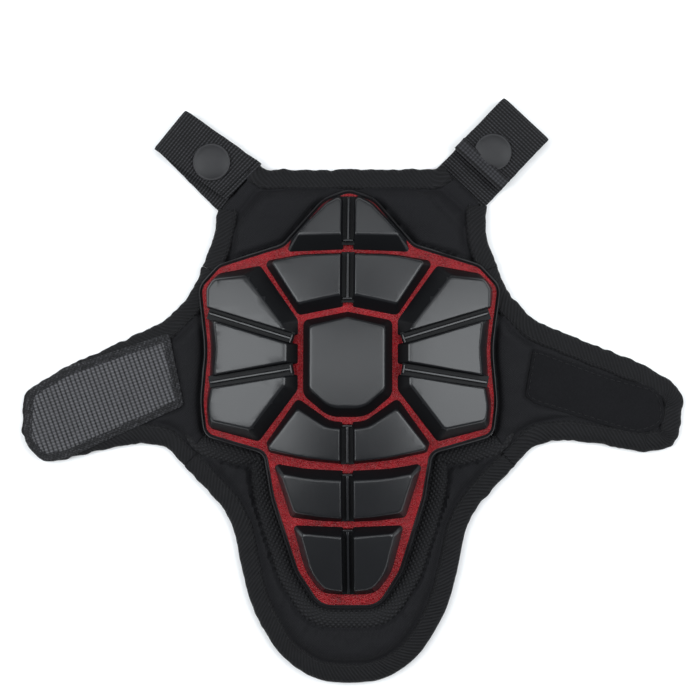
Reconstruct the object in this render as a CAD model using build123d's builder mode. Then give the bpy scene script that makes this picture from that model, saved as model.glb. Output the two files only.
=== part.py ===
from build123d import *
from math import cos, sin, radians
import os

# Back protector: a soft pad with two side wings and two snap-fastened shoulder
# loops carries a domed, segmented hard shell. It lies on its back: +Z is the
# outer, armoured side, +Y points to the neck and z = 0 is the face worn
# against the back. Millimetres.

os.makedirs("parts", exist_ok=True)

# ---- fabric and foam ----
lining = 1.0            # fabric against the body
cover = 1.0             # outer fabric
pad_foam = 5.0          # foam of the middle panel
wing_foam = 3.0         # foam of the side wings
band = 6.0              # width of the edge binding
tape = 1.0              # thickness of the binding tape

# ---- outline of the pad and wings ----
top_y = 96.0            # neck edge
neck_x = 43.0           # half the width of the neck edge
fold_x = 84.0           # line on which each wing folds
fold_gap = 0.3          # running room at the folds

# ---- shoulder straps ----
strap_width = 30.0
webbing = 1.4           # thickness of the webbing
strap_angle = {"left": 39.0, "right": 47.0}             # outwards, from X
strap_root = {"left": (56.0, 89.2), "right": (57.5, 89.4)}  # middle of the seam
leg_length = {"left": 42.7, "right": 44.2}              # seam to fold
anchor_length = 12.0    # end of the webbing sewn inside the pad
flap_length = {"left": 46.0, "right": 36.0}
snap_from_fold = {"left": 26.8, "right": 24.1}
hem = 5.5               # turned end of the right flap

# ---- snap fastener ----
cap_r = 9.25
cap_rim = 0.8
cap_height = 2.5
flange_r = 6.2
flange = 0.6
post_flange = 1.0
post_r = 2.0
knob_r = 3.2
knob_height = 1.4
socket_roof = 0.6
snap_gap = 0.4          # room round the knob
pin_gap = 0.05          # room round the rivet pins
stud_gap = 0.3          # between the socket's ring and the stud's flange

# ---- dome of the armour ----
armour_rise = 22.0      # top of the red base above the pad's cover
apex_y = -18.0
dome_rx = 170.0         # radius across the back
dome_ry = 300.0         # radius along the back
dome_half = 25.0        # half angle of the dome along the back
base_shell = 2.0        # thickness of the red base
skirt = 2.0             # width of the black rim
rim_proud = 0.5         # rim above the red base
sewn_flange = 7.0       # rim's flange under the cover
flange_thick = 1.0
cut_gap = 0.3           # cover's cut-out round the rim
cover_split_y = 38.0    # where the armour's corners part the neck cover from the rest

# ---- plates ----
plate_height = 7.0
draft_run = 3.0         # how far a plate's walls lean in
tiers = 3               # steps that make the leaning wall
groove = 4.75
groove_floor = 2.6      # above the red base
groove_lean = 1.5       # how much wider a groove is at its top
groove_rib = 1.5
rib_height = 4.4        # above the red base

# ---- fastening tapes on the wings ----
hook_thick = 1.2
loop_thick = 0.8
trim_thick = 0.8
trim_gap = 1.0
trim_width = 9.0
trim_top_y = -30.0      # where the mesh trim starts
hook_inset = 1.0        # least distance from the hook tape to the wing's edge

# ---- levels ----
binding_top = lining + wing_foam + cover
pad_top = lining + pad_foam + cover
flange_z = pad_top - cover - flange_thick
apex_z = pad_top + armour_rise
leg_z = lining
stud_z = leg_z + webbing
flap_z = stud_z + flange + knob_height + snap_gap + socket_roof
reach = 400.0           # longer than the whole part
tall = 100.0            # higher than the whole part

# Right half of each symmetric plan: (x, y, corner radius), from the top down.
armour_half = [
    (0, 85.8, 10), (13, 80.8, 14), (32.5, 58.2, 7), (65, 48.6, 9), (75.4, 37.5, 9),
    (71.2, 7, 60), (73.6, -20, 40), (71.6, -36.5, 7), (41.3, -44.6, 5),
    (37.9, -66, 30), (26.4, -103.5, 25), (15, -121.8, 12),
]
crown_half = [(0, 82.6, 8), (12, 78.2, 14), (27.2, 60.4, 3), (28.8, 56.2, 1.5)]
upper_half = [(0, 54.4, 80), (40.9, 50.4, 2.5), (25.0, 24.2, 2), (0, 27.9, 12)]
centre_half = [(0, 25.4, 3), (22.3, 20.6, 3), (22.3, -16.5, 5), (9, -27.8, 14)]
lower_half = [(9.5, -30.2, 14), (24.6, -18.2, 2.5), (40.9, -40.6, 2), (38.8, -45.4, 2),
              (0, -51.0, 90)]
waist_half = [(0, -54.6, 90), (35.0, -51.6, 2), (27.6, -76.2, 2), (0, -79.2, 90)]
tail_half = [(0, -81.9, 60), (26.8, -79.2, 2), (20.6, -104, 30), (12.5, -116.8, 9)]

# Right side plate, all round.
side_plan = [
    (43.4, 48.0, 2), (66.2, 43.9, 6), (71.6, 37.4, 7), (68.2, 7, 60), (70.4, -22, 40),
    (69.0, -33.6, 4), (44.4, -40.0, 2.5), (26.0, -14.8, 5), (26.0, 21.6, 5),
]
side_ribs = [((80, 26.9), (24, 10.6)), ((80, -12.3), (24, -2.6))]

# Wing edges from the pad's shoulder round the tip to the tail, both on +X.
wing_edge = {
    "right": [(67.6, 63, 30), (78.5, 34.5, 40), (92, 20.5, 30), (147, -1.5, 22),
              (167.5, -14, 14), (163, -43, 13), (147, -44.8, 10), (107, -38.6, 30),
              (92, -41.2, 14)],
    "left": [(67.6, 63, 30), (78.5, 34.5, 40), (92, 20.5, 30), (140, -1.5, 30),
             (162, -14.5, 8), (164, -38, 14), (152, -50.6, 8), (108, -40.6, 30),
             (92, -41.6, 12)],
}
tail_edge = [(58.5, -77.5, 30), (54.6, -100, 80), (49.0, -123, 60), (35.5, -146, 30),
             (17, -159.8, 30)]


def rounded_plan(corners):
    """A closed face with a rounded corner at each (x, y, radius)."""
    with BuildSketch() as plan:
        with BuildLine():
            FilletPolyline(*[(x, y) for x, y, r in corners],
                           radius=[r for x, y, r in corners], close=True)
        make_face()
    return plan.sketch


def mirrored(corners):
    """The same corners on -X, in the order that carries the outline on."""
    return [(-x, y, r) for x, y, r in reversed(corners) if x > 0]


def symmetric_plan(half):
    """A closed face from the corners of its right half."""
    return rounded_plan(half + mirrored(half))


def grown(plan, amount):
    """The plan with its edge moved out, or in where amount is negative."""
    if amount == 0:
        return plan
    with BuildSketch() as moved:
        add(plan)
        offset(amount=amount, kind=Kind.INTERSECTION)
    return moved.sketch


def strap_point(side, along, across=0.0):
    """A plan point measured from the middle of one shoulder seam."""
    hand = -1 if side == "left" else 1
    angle = radians(strap_angle[side])
    root_x, root_y = strap_root[side]
    return (hand * (root_x + along * cos(angle) + across * sin(angle)),
            root_y + along * sin(angle) - across * cos(angle))


def pad_half(side):
    """One half of the whole outline, drawn on +X, from the neck to the tail."""
    seam_in = strap_point(side, 0, -strap_width / 2)
    seam_out = strap_point(side, 0, strap_width / 2)
    shoulder = [(neck_x, top_y, 4), (abs(seam_in[0]), seam_in[1], 1.5),
                (abs(seam_out[0]), seam_out[1], 5)]
    return shoulder + wing_edge[side] + tail_edge


outline = rounded_plan(pad_half("right") + mirrored(pad_half("left")))
armour = symmetric_plan(armour_half)
armour_inner = grown(armour, -skirt)
with BuildSketch() as flange_plan:
    add(grown(armour, sewn_flange))
    add(grown(outline, -band - tape), mode=Mode.INTERSECT)

with BuildSketch() as pad_region:
    Rectangle(2 * fold_x, reach)
with BuildSketch() as right_region:
    with Locations((fold_x + fold_gap, 0)):
        Rectangle(reach, reach, align=(Align.MIN, Align.CENTER))
with BuildSketch() as left_region:
    with Locations((-fold_x - fold_gap, 0)):
        Rectangle(reach, reach, align=(Align.MAX, Align.CENTER))
regions = {"pad": pad_region.sketch, "left": left_region.sketch, "right": right_region.sketch}


def below(y):
    """All of the plan on the tail side of y."""
    with BuildSketch() as half:
        with Locations((0, y)):
            Rectangle(reach, reach, align=(Align.CENTER, Align.MAX))
    return half.sketch


def above(y):
    """All of the plan on the neck side of y."""
    with BuildSketch() as half:
        with Locations((0, y)):
            Rectangle(reach, reach, align=(Align.CENTER, Align.MIN))
    return half.sketch


def layer(low, high, inset, region, holes=()):
    """One level layer of the pad or a wing, inset from the outer edge."""
    with BuildPart() as sheet:
        with BuildSketch(Plane.XY.offset(low)):
            add(grown(outline, -inset))
            add(regions[region], mode=Mode.INTERSECT)
            for hole in holes:
                add(hole, mode=Mode.SUBTRACT)
        extrude(amount=high - low)
    return sheet.part


def column(plan, low, high):
    """A plan face raised between two levels."""
    with BuildPart() as post:
        with BuildSketch(Plane.XY.offset(low)):
            add(plan)
        extrude(amount=high - low)
    return post.part


def dome(height):
    """Everything under the armour's curved surface, raised by height."""
    axis_z = apex_z - dome_rx
    with BuildPart() as barrel:
        with BuildSketch(Plane.YZ):
            with BuildLine():
                arc = CenterArc((apex_y, apex_z - dome_ry), dome_ry + height, 90 - dome_half, 2 * dome_half)
                Line(arc @ 0, ((arc @ 0).X, axis_z))
                Line(arc @ 1, ((arc @ 1).X, axis_z))
                Line(((arc @ 0).X, axis_z), ((arc @ 1).X, axis_z))
            make_face()
        revolve(axis=Axis((0, 0, axis_z), (0, 1, 0)))
    return barrel.part


def save(builder, name):
    """Label one sub-part and write its STEP file."""
    builder.part.label = name
    export_step(builder.part, f"parts/{name}.step")


def strap_plane(side, along=0.0, z=0.0):
    """Level plane of one strap: local x runs outwards along the webbing."""
    hand = -1 if side == "left" else 1
    x, y = strap_point(side, along)
    angle = radians(strap_angle[side])
    outwards = (hand * cos(angle), sin(angle), 0)
    return Plane(origin=(x, y, z), x_dir=outwards, z_dir=(0, 0, 1))


def strap_section(side, along=0.0):
    """Upright plane along one strap: local x runs outwards, local y is up."""
    level = strap_plane(side, along)
    return Plane(origin=level.origin, x_dir=level.x_dir, z_dir=-level.y_dir)


# ================= pad =================
with BuildPart() as pad_lining:
    add(layer(0, lining, band, "pad"))
save(pad_lining, "pad_lining")

tongue_low, tongue_high = tape, binding_top - tape


def anchor_space(side):
    """The room that the sewn end of one strap takes in the pad's edge."""
    with BuildPart() as room:
        with BuildSketch(strap_plane(side, 0, leg_z)):
            with Locations((-anchor_length / 2, 0)):
                Rectangle(anchor_length, strap_width)
        extrude(amount=webbing)
    return room.part


with BuildPart() as pad_core:
    add(layer(tongue_low, tongue_high, tape, "pad"))
    add(layer(tongue_high, pad_top - cover, band + tape, "pad"))
    add(column(flange_plan.sketch, flange_z, pad_top), mode=Mode.SUBTRACT)
    for side in ("left", "right"):
        add(anchor_space(side), mode=Mode.SUBTRACT)
save(pad_core, "pad_core")

covers = {"neck_cover": below(cover_split_y), "pad_cover": above(cover_split_y)}
for name, other_part in covers.items():
    with BuildPart() as outer_cover:
        add(layer(pad_top - cover, pad_top, band, "pad", [grown(armour, cut_gap), other_part]))
        add(layer(tongue_high, pad_top - cover, band, "pad",
                  [grown(outline, -band - tape), grown(armour, cut_gap), other_part]))
    save(outer_cover, name)

with BuildPart() as neck_binding:
    add(layer(0, binding_top, 0, "pad", [grown(outline, -band), below(0)]))
    add(layer(tongue_low, tongue_high, tape, "pad"), mode=Mode.SUBTRACT)
    for side in ("left", "right"):
        add(anchor_space(side), mode=Mode.SUBTRACT)
save(neck_binding, "neck_binding")

with BuildPart() as tail_binding:
    add(layer(0, binding_top, 0, "pad", [grown(outline, -band), above(0)]))
    add(layer(tongue_low, tongue_high, tape, "pad"), mode=Mode.SUBTRACT)
save(tail_binding, "tail_binding")

for side in ("left", "right"):
    with BuildPart() as strap_anchor:
        add(anchor_space(side))
    save(strap_anchor, f"{side}_strap_anchor")

with BuildPart() as mesh_trim:
    with BuildSketch(Plane.XY.offset(pad_top)):
        add(grown(armour, trim_gap + trim_width))
        add(grown(armour, trim_gap), mode=Mode.SUBTRACT)
        with Locations((0, trim_top_y)):
            Rectangle(reach, reach, align=(Align.CENTER, Align.MAX), mode=Mode.INTERSECT)
    extrude(amount=trim_thick)
save(mesh_trim, "mesh_trim")

# ================= armour =================
with BuildPart() as impact_foam:
    add(column(armour_inner, flange_z, tall))
    add(dome(-base_shell), mode=Mode.INTERSECT)
save(impact_foam, "impact_foam")

with BuildPart() as armour_base:
    add(column(armour_inner, flange_z, tall))
    add(dome(0), mode=Mode.INTERSECT)
    add(dome(-base_shell), mode=Mode.SUBTRACT)
save(armour_base, "armour_base")

with BuildPart() as armour_rim:
    add(column(armour, flange_z, tall))
    add(dome(rim_proud), mode=Mode.INTERSECT)
    add(column(flange_plan.sketch, flange_z, flange_z + flange_thick))
    add(column(armour_inner, flange_z - 1, tall), mode=Mode.SUBTRACT)
save(armour_rim, "armour_rim")


def raised(plan, height):
    """A plan face filled from the flange up to one height above the red base."""
    with BuildPart() as block:
        add(column(plan, flange_z, tall))
        add(dome(height), mode=Mode.INTERSECT)
    return block.part


def strip(start, end, width):
    """A straight strip in plan, past both of its ends."""
    with BuildSketch() as plan:
        with BuildLine():
            Line(start, end)
        trace(line_width=width)
    return plan.sketch


def plate(plan, grooves):
    """A plate on the red base: leaning walls, and grooves with a low rib in each."""
    rise = (plate_height - groove_floor) / (tiers - 1)
    run = draft_run / (tiers - 1)
    with BuildPart() as body:
        add(raised(plan, groove_floor))
        for tier in range(1, tiers):
            with BuildSketch(mode=Mode.PRIVATE) as step:
                add(grown(plan, -tier * run))
                for start, end in grooves:
                    add(strip(start, end, groove + (tier - 1) * groove_lean), mode=Mode.SUBTRACT)
            add(raised(step.sketch, groove_floor + tier * rise))
        for start, end in grooves:
            with BuildSketch(mode=Mode.PRIVATE) as rib:
                add(strip(start, end, groove_rib))
                add(grown(plan, -draft_run / 2), mode=Mode.INTERSECT)
            add(raised(rib.sketch, rib_height))
        add(dome(0), mode=Mode.SUBTRACT)
    return body.part


middle_groove = [((0, 100), (0, -140))]
plates = {
    "crown_plate": (crown_half, middle_groove),
    "upper_plate": (upper_half, middle_groove),
    "centre_plate": (centre_half, []),
    "lower_plate": (lower_half, middle_groove),
    "waist_plate": (waist_half, middle_groove),
    "tail_plate": (tail_half, middle_groove),
}
for name, (half, grooves) in plates.items():
    with BuildPart() as armour_plate:
        add(plate(symmetric_plan(half), grooves))
    save(armour_plate, name)

with BuildPart() as right_side_plate:
    add(plate(rounded_plan(side_plan), side_ribs))
save(right_side_plate, "right_side_plate")

with BuildPart() as left_side_plate:
    add(mirror(right_side_plate.part, about=Plane.YZ, mode=Mode.PRIVATE))
save(left_side_plate, "left_side_plate")

# ================= wings =================
for side in ("left", "right"):
    with BuildPart() as wing_lining:
        add(layer(0, lining, band, side))
    save(wing_lining, f"{side}_wing_lining")

    with BuildPart() as wing_core:
        add(layer(tongue_low, tongue_high, tape, side))
    save(wing_core, f"{side}_wing_core")

    with BuildPart() as wing_cover:
        add(layer(tongue_high, binding_top, band, side))
    save(wing_cover, f"{side}_wing_cover")

    with BuildPart() as wing_binding:
        add(layer(0, binding_top, 0, side, [grown(outline, -band)]))
        add(layer(tongue_low, tongue_high, tape, side), mode=Mode.SUBTRACT)
    save(wing_binding, f"{side}_wing_binding")

hook_plan = [(-91.5, 13.6, 2), (-85.2, -15, 1), (-85.2, -24.5, 2), (-139, -46.5, 30),
             (-152, -50, 8), (-163, -40, 13), (-161.4, -14.6, 8), (-140, -2.4, 30)]
with BuildPart() as hook_tape:
    with BuildSketch(Plane.XY.offset(binding_top)):
        add(rounded_plan(hook_plan))
        add(grown(outline, -hook_inset), mode=Mode.INTERSECT)
    extrude(amount=hook_thick)
save(hook_tape, "hook_tape")

loop_plan = [(91.2, 7.2, 2), (87.0, -17, 1), (92, -20.5, 2), (143, -36, 10),
             (157, -31, 8), (155, -13.5, 10), (129, -6.8, 30)]
with BuildPart() as loop_patch:
    with BuildSketch(Plane.XY.offset(binding_top)):
        add(rounded_plan(loop_plan))
    extrude(amount=loop_thick)
save(loop_patch, "loop_patch")

# ================= straps =================
socket_low = stud_z + flange + stud_gap
socket_high = flap_z
bend_r = (flap_z + webbing - leg_z) / 2
cap_z = flap_z + webbing


def disc(plane, radius, height):
    """A round disc standing on a plane."""
    with BuildPart() as button:
        with BuildSketch(plane):
            Circle(radius)
        extrude(amount=height)
    return button.part


for side in ("left", "right"):
    leg = leg_length[side]
    snap = leg - snap_from_fold[side]
    free_end = leg - flap_length[side]

    with BuildPart() as strap_webbing:
        with BuildSketch(strap_plane(side, fold_gap, leg_z)):
            Rectangle(leg - fold_gap, strap_width, align=(Align.MIN, Align.CENTER))
        extrude(amount=webbing)
        add(disc(strap_plane(side, snap, leg_z), post_r + pin_gap, webbing), mode=Mode.SUBTRACT)
    save(strap_webbing, f"{side}_strap_webbing")

    with BuildPart() as snap_post:
        add(disc(strap_plane(side, snap, 0), flange_r, post_flange))
        add(disc(strap_plane(side, snap, post_flange), post_r, webbing + flange))
    save(snap_post, f"{side}_snap_post")

    with BuildPart() as snap_stud:
        add(disc(strap_plane(side, snap, stud_z), flange_r, flange))
        add(disc(strap_plane(side, snap, stud_z + flange), knob_r, knob_height))
        add(disc(strap_plane(side, snap, stud_z), post_r + pin_gap, flange), mode=Mode.SUBTRACT)
    save(snap_stud, f"{side}_snap_stud")

    with BuildPart() as flap_webbing:
        with BuildSketch(strap_section(side, leg + fold_gap)):
            with BuildLine():
                outer = CenterArc((0, leg_z + bend_r), bend_r, -90, 180)
                inner = CenterArc((0, leg_z + bend_r), bend_r - webbing, -90, 180)
                Line(outer @ 0, inner @ 0)
                end_x = free_end - leg - fold_gap
                Polyline(outer @ 1, (end_x, flap_z + webbing), (end_x, flap_z), inner @ 1)
            make_face()
        extrude(amount=strap_width / 2, both=True)
        if side == "right":
            with BuildSketch(strap_plane(side, free_end, flap_z - webbing)):
                Rectangle(hem, strap_width, align=(Align.MIN, Align.CENTER))
            extrude(amount=webbing)
        add(disc(strap_plane(side, snap, flap_z), post_r + pin_gap, webbing), mode=Mode.SUBTRACT)
    save(flap_webbing, f"{side}_flap_webbing")

    with BuildPart() as snap_socket:
        add(disc(strap_plane(side, snap, socket_low), flange_r, socket_high - socket_low))
        add(disc(strap_plane(side, snap, socket_low), knob_r + snap_gap,
                 socket_high - socket_roof - socket_low), mode=Mode.SUBTRACT)
        add(disc(strap_plane(side, snap, socket_low), post_r + pin_gap,
                 socket_high - socket_low), mode=Mode.SUBTRACT)
    save(snap_socket, f"{side}_snap_socket")

    with BuildPart() as snap_cap:
        add(disc(strap_plane(side, snap, cap_z), cap_r, cap_height))
        fillet(snap_cap.faces().sort_by(Axis.Z)[-1].edges(), cap_height - cap_rim)
        add(disc(strap_plane(side, snap, flap_z - socket_roof), post_r, webbing + socket_roof))
    save(snap_cap, f"{side}_snap_cap")
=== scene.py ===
from math import cos, pi, radians, sin, sqrt, tan

import bpy
import numpy as np
from bpy.props import FloatProperty, FloatVectorProperty, PointerProperty
from bpy.types import Operator, Panel, PropertyGroup
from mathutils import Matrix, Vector, noise


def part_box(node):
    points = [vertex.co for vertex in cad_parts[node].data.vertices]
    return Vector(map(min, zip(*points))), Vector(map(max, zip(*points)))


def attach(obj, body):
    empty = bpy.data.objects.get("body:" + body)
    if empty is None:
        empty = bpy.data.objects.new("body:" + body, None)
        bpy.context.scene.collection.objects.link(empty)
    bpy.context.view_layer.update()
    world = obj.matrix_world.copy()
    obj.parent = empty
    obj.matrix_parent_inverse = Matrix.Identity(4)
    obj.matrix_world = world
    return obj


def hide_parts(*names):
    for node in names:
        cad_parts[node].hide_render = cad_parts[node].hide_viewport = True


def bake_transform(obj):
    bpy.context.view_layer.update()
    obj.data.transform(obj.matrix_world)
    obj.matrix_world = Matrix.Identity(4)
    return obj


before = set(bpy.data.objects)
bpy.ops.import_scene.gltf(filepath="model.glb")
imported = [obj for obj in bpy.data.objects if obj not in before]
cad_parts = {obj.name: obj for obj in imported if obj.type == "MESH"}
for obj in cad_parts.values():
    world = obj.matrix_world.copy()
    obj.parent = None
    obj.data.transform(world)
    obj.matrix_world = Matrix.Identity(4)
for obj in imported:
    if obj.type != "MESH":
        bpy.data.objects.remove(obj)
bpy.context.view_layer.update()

# Looks of a strap-on back protector: a soft pad with two wings and two snapped
# shoulder loops under a domed, segmented hard shell. Outlines are in
# millimetres, +Z out of the back and +Y to the neck; meshes are in metres.

bl_info = {
    "name": "Back protector",
    "version": (1, 0, 0),
    "blender": (4, 5, 0),
    "location": "3D View > Sidebar > Protector",
    "description": "Builds the shell, fabric, straps and finishes of a back protector",
    "category": "Object",
}

MM = 0.001

# ---------------------------------------------------------------- outlines
# Corners are (x, y, radius), clockwise from the top, drawn on +X.
ARMOUR_HALF = [
    (0, 85.8, 10), (13, 80.8, 14), (32.5, 58.2, 7), (65, 48.6, 9), (75.4, 37.5, 9), (71.2, 7, 60),
    (73.6, -20, 40), (71.6, -36.5, 7), (41.3, -44.6, 5), (37.9, -66, 30), (26.4, -103.5, 25),
    (15, -121.8, 12),
]
SHOULDER = {
    "right": [(43, 96, 4), (46.5, 99.6, 1.5), (68.5, 79.2, 5)],
    "left": [(43, 96, 4), (46.6, 100.9, 1.5), (65.4, 77.5, 5)],
}
WING_EDGE = {
    "right": [(67.6, 63, 30), (78.5, 34.5, 40), (92, 20.5, 30), (147, -1.5, 22), (167.5, -14, 14),
              (163, -43, 13), (147, -44.8, 10), (107, -38.6, 30), (92, -41.2, 14)],
    "left": [(67.6, 63, 30), (78.5, 34.5, 40), (92, 20.5, 30), (140, -1.5, 30), (162, -14.5, 8),
             (164, -38, 14), (152, -50.6, 8), (108, -40.6, 30), (92, -41.6, 12)],
}
TAIL_EDGE = [(58.5, -77.5, 30), (54.6, -100, 80), (49.0, -123, 60), (35.5, -146, 30), (17, -159.8, 30)]

# Raised pads of each plate, right half: outline at the foot and at the top.
MIDDLE_PADS = {
    "crown_plate": (
        [(2.4, 83.0, 2), (11.5, 79.0, 12), (28.2, 60.6, 2.5), (30.0, 54.0, 1.5), (2.4, 55.0, 0.8)],
        [(3.4, 81.4, 2), (11.0, 77.2, 12), (24.3, 63.4, 1.5), (24.0, 62.4, 0.6), (3.4, 62.7, 0.8)]),
    "upper_plate": (
        [(2.4, 53.4, 0.8), (22, 52.9, 80), (42.0, 49.6, 2.5), (24.0, 22.8, 3), (2.4, 27.0, 1)],
        [(3.5, 52.6, 0.8), (22, 52.0, 80), (37.2, 49.2, 1.5), (23.8, 28.6, 2.2), (3.5, 33.1, 0.8)]),
    "lower_plate": (
        [(2.4, -28.8, 1), (8.6, -28.2, 14), (24.2, -17.2, 2.5), (39.8, -39.2, 2), (38.4, -43.8, 2),
         (20, -47.6, 90), (2.4, -49.2, 0.8)],
        [(3.4, -32.0, 0.8), (10.4, -31.2, 14), (23.8, -22.6, 1.5), (38.0, -40.6, 1.5), (37.1, -42.2, 1),
         (20, -45.8, 90), (3.5, -47.4, 0.8)]),
    "waist_plate": (
        [(2.4, -52.4, 0.8), (20, -51.6, 90), (36.4, -49.0, 2), (28.0, -75.6, 2.5), (14, -77.2, 90),
         (2.4, -77.6, 0.8)],
        [(2.9, -57.2, 0.8), (18, -56.5, 90), (31.7, -53.8, 1.5), (25.6, -72.4, 3.5), (13, -74.4, 90),
         (2.9, -75.2, 0.8)]),
    "tail_plate": (
        [(2.4, -80.2, 0.8), (27.2, -79.4, 2), (21.0, -103.5, 25), (13.4, -113.8, 9), (2.4, -114.6, 0.8)],
        [(2.9, -84.9, 0.8), (22.4, -83.0, 1.5), (17.4, -102.8, 22), (11.4, -110.6, 8), (2.9, -111.6, 0.8)]),
}
CENTRE_PAD = (
    [(0, 24.6, 3), (21.6, 20.4, 3), (21.6, -15.8, 6), (9, -26.4, 14), (-9, -26.4, 14),
     (-21.6, -15.8, 6), (-21.6, 20.4, 3)],
    [(0, 21.7, 2), (18.0, 17.4, 2.2), (18.0, -12.4, 4.5), (8, -21.4, 12), (-8, -21.4, 12),
     (-18.0, -12.4, 4.5), (-18.0, 17.4, 2.2)])
SIDE_PADS = [
    ([(43.3, 47.4, 2.5), (64.8, 43.8, 6), (71.2, 37.2, 7), (70.2, 26.8, 1), (24.2, 12.9, 1),
      (24.2, 20.6, 4)],
     [(50.4, 42.0, 3), (66.8, 40.4, 4), (69.4, 35.6, 4), (69.3, 27.0, 1.2), (30.0, 15.2, 1.2),
      (32.4, 18.6, 4)]),
    ([(69.3, 21.6, 1), (67.8, 6.5, 40), (68.4, -7.6, 1), (24.2, -0.6, 1), (24.2, 8.8, 1)],
     [(65.6, 20.2, 1.2), (64.0, 6.5, 30), (65.2, -6.2, 1.2), (29.8, 0.2, 1.2), (29.8, 9.4, 1.2)]),
    ([(68.9, -12.2, 1), (70.3, -22, 40), (69.0, -32.4, 4), (43.4, -38.6, 2.5), (24.2, -13.4, 5),
      (24.2, -5.8, 1)],
     [(66.6, -12.6, 1.2), (68.2, -22, 30), (66.9, -28.4, 3), (47.0, -32.2, 3), (30.5, -10.6, 3),
      (30.3, -6.4, 1.2)]),
]
# Each rib's start and end, and how far the groove's floor runs on past the end.
SIDE_RIBS = [((68.6, 24.2), (27.2, 11.6), 1.0), ((67.8, -9.9), (27.2, -3.2), 1.0)]
# The same along the middle line, from Y to Y.
MIDDLE_RIBS = {"crown_plate": (81.0, 59.4, 2.2), "upper_plate": (53.2, 31.0, 2.0),
               "lower_plate": (-48.6, -30.6, 0.4), "waist_plate": (-76.6, -54.4, 0.6),
               "tail_plate": (-113.4, -81.6, 0.3)}

HOOK_OUTLINE = [(89.6, 14.6, 2), (140, -2.4, 30), (160.4, -14.6, 8), (162, -40, 13), (152, -50, 8),
                (139, -47.2, 30), (82.0, -21.6, 2)]
LOOP_OUTLINE = [(91.2, 7.2, 2), (129, -6.8, 30), (155, -13.5, 10), (157, -31, 8), (143, -36, 10),
                (92, -20.5, 2), (87.0, -17, 1)]

DOME_RX, DOME_RY, DOME_Y, DOME_TOP = 170.0, 300.0, -18.0, 29.0


def dome(x, y, height=0.0):
    """Level of the armour's curved surface, raised by height."""
    axis_z = DOME_TOP - DOME_RX
    radius = sqrt((DOME_RY + height) ** 2 - (y - DOME_Y) ** 2) + DOME_TOP - DOME_RY - axis_z
    return axis_z + sqrt(max(radius * radius - x * x, 0.0))


def mirrored(corners):
    """The same corners on -X, still clockwise."""
    return [(-x, y, radius) for x, y, radius in reversed(corners)]


def symmetric(half):
    return half + [corner for corner in mirrored(half) if corner[0] < 0]


def inset_corners(corners, amount):
    """A clockwise outline's corners, moved inwards."""
    moved = []
    for i, (x, y, radius) in enumerate(corners):
        here = Vector((x, y))
        into = (here - Vector(corners[i - 1][:2])).normalized()
        out_of = (Vector(corners[(i + 1) % len(corners)][:2]) - here).normalized()
        a, b = Vector((into.y, -into.x)), Vector((out_of.y, -out_of.x))
        corner = here + (a + b) * (amount / (1 + a.dot(b)))
        turn = -1 if into.cross(out_of) < 0 else 1
        moved.append((corner.x, corner.y, max(radius + turn * amount, 0.8)))
    return moved


def rounded(corners, arc=6):
    """Points round a closed outline, arc + 1 of them on each rounded corner."""
    points = []
    for i, (x, y, radius) in enumerate(corners):
        here = Vector((x, y))
        back = Vector(corners[i - 1][:2]) - here
        ahead = Vector(corners[(i + 1) % len(corners)][:2]) - here
        room = 0.49 * min(back.length, ahead.length)
        a, b = back.normalized(), ahead.normalized()
        half = a.angle(b) / 2
        cut = min(radius / tan(half), room)
        bend = pi - 2 * half
        centre = here + (a + b).normalized() * (cut * tan(half) / sin(half))
        first, last = here + a * cut - centre, here + b * cut - centre
        for k in range(arc + 1):
            share = k / arc
            arm = first * sin((1 - share) * bend) + last * sin(share * bend)
            points.append(centre + arm / sin(bend))
    return [(p.x, p.y) for p in points]


def spaced(points, step, closed=False):
    """Points an even distance apart along a line, as an array."""
    line = np.array(points, float)
    if closed:
        line = np.vstack([line, line[:1]])
    along = np.concatenate([[0], np.cumsum(np.hypot(*np.diff(line, axis=0).T))])
    count = max(int(round(along[-1] / step)), 2)
    at = np.linspace(0, along[-1], count + 1)
    line = np.column_stack([np.interp(at, along, line[:, k]) for k in range(2)])
    return line[:-1] if closed else line


def eased(line, start, full, reach=14):
    """A closed line with its corners worn down where y is below a level."""
    padded = np.vstack([line[-reach:], line, line[:reach]])
    kernel = np.hanning(2 * reach + 3)[1:-1]
    kernel /= kernel.sum()
    even = np.column_stack([np.convolve(padded[:, k], kernel, mode="valid") for k in range(2)])
    return line + (even - line) * smooth(start, full, line[:, 1])[:, None]


def normals(line, closed=False):
    """Unit vectors to the right of a line's direction: inwards, on a clockwise outline."""
    if closed:
        run = np.roll(line, -1, axis=0) - np.roll(line, 1, axis=0)
    else:
        run = np.gradient(line, axis=0)
    run /= np.hypot(*run.T)[:, None]
    return np.column_stack([run[:, 1], -run[:, 0]])


def distance(places, line, closed=True):
    """Distance from each place to a line through points."""
    start = np.array(line, float)
    end = np.roll(start, -1, axis=0)
    if not closed:
        start, end = start[:-1], end[:-1]
    run = end - start
    best = np.full(len(places), 1e9)
    for origin, step in zip(start, run):
        offset = places - origin
        share = np.clip(offset @ step / max(step @ step, 1e-12), 0, 1)
        best = np.minimum(best, np.hypot(*(offset - share[:, None] * step).T))
    return best


def inside(places, line):
    """Which places lie inside a closed line."""
    x, y = places.T
    found = np.zeros(len(places), bool)
    for (x0, y0), (x1, y1) in zip(line, np.roll(line, -1, axis=0)):
        if y0 != y1:
            found ^= ((y0 > y) != (y1 > y)) & (x < (x1 - x0) * (y - y0) / (y1 - y0) + x0)
    return found


def depth(places, corners):
    """Distance inwards from a rounded outline, negative outside it."""
    line = np.array(rounded(corners))
    away = distance(places, line)
    return np.where(inside(places, line), away, -away)


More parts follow.
